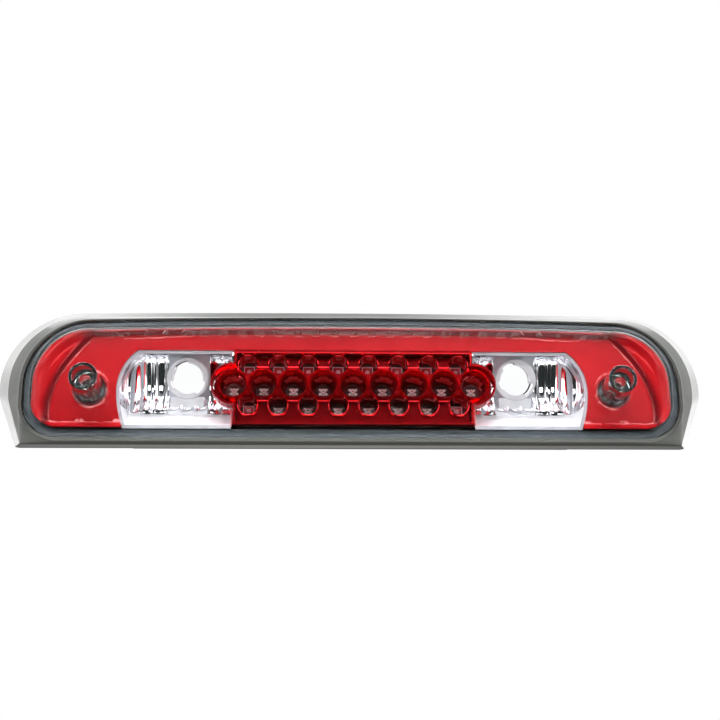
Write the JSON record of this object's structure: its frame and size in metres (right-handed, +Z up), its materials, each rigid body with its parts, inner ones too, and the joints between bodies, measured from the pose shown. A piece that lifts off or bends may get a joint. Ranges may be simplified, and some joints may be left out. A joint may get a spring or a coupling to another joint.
{
  "type": "third brake light",
  "caption": "Wide third brake light: clear domed lens, red bezel, LED cup block between two fluted chrome cargo reflectors, flared grey housing and a rear gasket.",
  "frame": {"origin": "middle of the flat plane that the rear gasket presses on the cab panel", "axes": "+X along the lamp to the right seen from the front, +Z up, the lamp faces -Y"},
  "size_m": [0.4596, 0.0786, 0.0955],
  "materials": {
    "housing_grey": "satin grey moulded thermoplastic",
    "foam_black": "closed-cell foam",
    "lens_clear": "clear polycarbonate, polished",
    "sealant_dark": "dark lens adhesive",
    "bezel_red": "glossy red, slightly metallised",
    "chrome": "bright metallised plastic",
    "chrome_red": "red metallised plastic",
    "board_red": "dark solder mask",
    "led_clear": "clear epoxy",
    "cap_red": "moulded red",
    "rubber_black": "black rubber",
    "resistor_tan": "lacquered ceramic",
    "header_white": "natural nylon",
    "screw_steel": "zinc-plated steel"
  },
  "bodies": {
    "root": {"board_screw_1": "screw_steel", "board_screw_2": "screw_steel", "board_screw_3": "screw_steel", "board_screw_4": "screw_steel", "cable_grommet": "rubber_black", "cargo_reflector_left": "chrome", "cargo_reflector_right": "chrome", "dummy_led_low_1": "cap_red", "dummy_led_low_2": "cap_red", "dummy_led_top_1": "cap_red", "dummy_led_top_2": "cap_red", "dummy_led_top_3": "cap_red", "dummy_led_top_4": "cap_red", "dummy_led_top_5": "cap_red", "dummy_led_top_6": "cap_red", "dummy_led_top_7": "cap_red", "dummy_led_top_8": "cap_red", "housing": "housing_grey", "led_board": "board_red", "led_reflector": "chrome_red", "led_shroud": "chrome_red", "lens_sealant": "sealant_dark", "outer_lens": "lens_clear", "rear_gasket": "foam_black", "rectifier_diode": "rubber_black", "red_bezel": "bezel_red", "reflector_screw_1": "screw_steel", "reflector_screw_2": "screw_steel", "reflector_screw_3": "screw_steel", "reflector_screw_4": "screw_steel", "resistor_1": "resistor_tan", "resistor_2": "resistor_tan", "resistor_3": "resistor_tan", "resistor_4": "resistor_tan", "resistor_5": "resistor_tan", "screw_seal_left": "rubber_black", "screw_seal_right": "rubber_black", "stop_led_low_1": "led_clear", "stop_led_low_2": "led_clear", "stop_led_low_3": "led_clear", "stop_led_low_4": "led_clear", "stop_led_low_5": "led_clear", "stop_led_low_6": "led_clear", "stop_led_mid_1": "led_clear", "stop_led_mid_2": "led_clear", "stop_led_mid_3": "led_clear", "stop_led_mid_4": "led_clear", "stop_led_mid_5": "led_clear", "stop_led_mid_6": "led_clear", "stop_led_mid_7": "led_clear", "stop_led_mid_8": "led_clear", "stop_led_mid_9": "led_clear", "vent_plug_left": "rubber_black", "vent_plug_right": "rubber_black", "wire_header": "header_white"}
  },
  "joints": []
}
